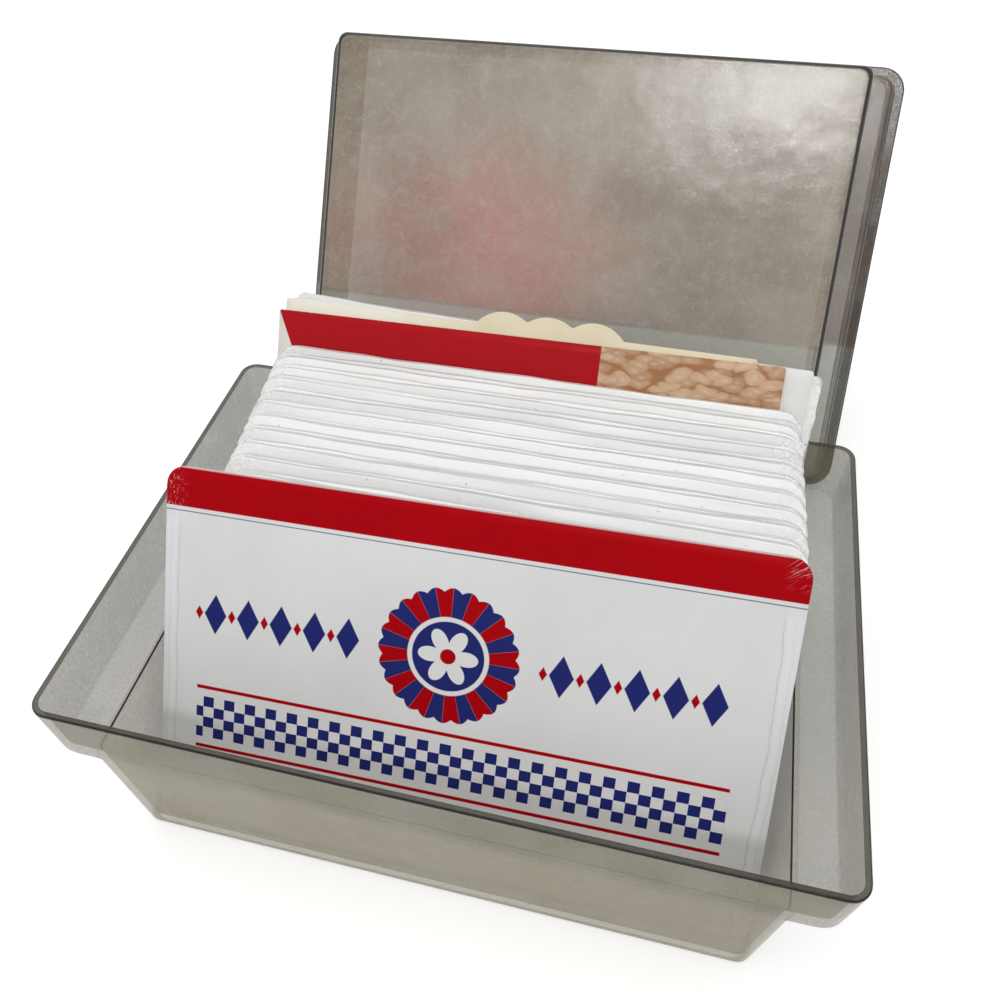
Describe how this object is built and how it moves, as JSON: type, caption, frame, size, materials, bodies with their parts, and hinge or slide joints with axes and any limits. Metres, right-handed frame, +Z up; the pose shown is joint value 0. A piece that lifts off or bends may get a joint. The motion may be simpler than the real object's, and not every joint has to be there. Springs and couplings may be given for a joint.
{
  "type": "recipe card box",
  "caption": "Smoked plastic card tray with side ledges, full of leaning wrapped card packs behind a tabbed divider, its deep lift-off lid stood behind it.",
  "frame": {"origin": "centre of the tray's underside, on the surface that the box stands on", "axes": "+X to the right, +Y to the back where the lid stands, +Z up"},
  "size_m": [0.2006, 0.2588, 0.1368],
  "materials": {
    "smoked_plastic": "smoked translucent plastic, worn",
    "divider_card": "coated card with a red top band",
    "picture_card": "glossy printed card",
    "cream_card": "matt card",
    "index_card": "matt card",
    "wrapped_pack": "white cards in clear film"
  },
  "bodies": {
    "tray": {"base_tray": "smoked_plastic"},
    "divider": {"front_divider": "divider_card"},
    "front_packs": {"card_pack_01": "wrapped_pack", "card_pack_02": "wrapped_pack", "card_pack_03": "wrapped_pack", "card_pack_04": "wrapped_pack", "card_pack_05": "wrapped_pack", "card_pack_06": "wrapped_pack", "card_pack_07": "wrapped_pack"},
    "middle_packs": {"card_pack_08": "wrapped_pack", "card_pack_09": "wrapped_pack", "card_pack_10": "wrapped_pack", "card_pack_11": "wrapped_pack", "card_pack_12": "wrapped_pack", "card_pack_13": "wrapped_pack", "card_pack_14": "wrapped_pack"},
    "back_packs": {"card_pack_15": "wrapped_pack", "card_pack_16": "wrapped_pack", "card_pack_17": "wrapped_pack", "card_pack_18": "wrapped_pack", "card_pack_19": "wrapped_pack", "card_pack_20": "wrapped_pack", "card_pack_21": "wrapped_pack"},
    "picture_card": {"picture_card": "picture_card"},
    "scalloped_card": {"scalloped_card": "cream_card"},
    "index_card_1": {"index_card_1": "index_card"},
    "index_card_2": {"index_card_2": "index_card"},
    "rear_packs": {"rear_pack_1": "wrapped_pack", "rear_pack_2": "wrapped_pack", "rear_pack_3": "wrapped_pack"},
    "lid": {"lid": "smoked_plastic"}
  },
  "joints": [
    {"name": "divider_tip", "type": "hinge", "parent": "tray", "child": "divider", "pos_m": [0, -0.06238, 0.00228], "axis": [1, 0, 0], "range_deg": [0, 33]},
    {"name": "front_packs_lift", "type": "slide", "parent": "tray", "child": "front_packs", "axis": [0, 0.527, 0.8499], "range_m": [0, 0.06]},
    {"name": "middle_packs_lift", "type": "slide", "parent": "tray", "child": "middle_packs", "axis": [0, 0.527, 0.8499], "range_m": [0, 0.06]},
    {"name": "back_packs_lift", "type": "slide", "parent": "tray", "child": "back_packs", "axis": [0, 0.527, 0.8499], "range_m": [0, 0.06]},
    {"name": "picture_card_lift", "type": "slide", "parent": "tray", "child": "picture_card", "axis": [0, 0.527, 0.8499], "range_m": [0, 0.045]},
    {"name": "scalloped_card_lift", "type": "slide", "parent": "tray", "child": "scalloped_card", "axis": [0, 0.527, 0.8499], "range_m": [0, 0.045]},
    {"name": "index_card_1_lift", "type": "slide", "parent": "tray", "child": "index_card_1", "axis": [0, 0.527, 0.8499], "range_m": [0, 0.045]},
    {"name": "index_card_2_lift", "type": "slide", "parent": "tray", "child": "index_card_2", "axis": [0, 0.527, 0.8499], "range_m": [0, 0.045]},
    {"name": "rear_packs_lift", "type": "slide", "parent": "tray", "child": "rear_packs", "axis": [0, 0.527, 0.8499], "range_m": [0, 0.045]},
    {"name": "lid_tilt", "type": "hinge", "parent": "tray", "child": "lid", "pos_m": [0.0017, 0.11145, 0], "axis": [1, 0, 0], "range_deg": [0, 12]}
  ]
}
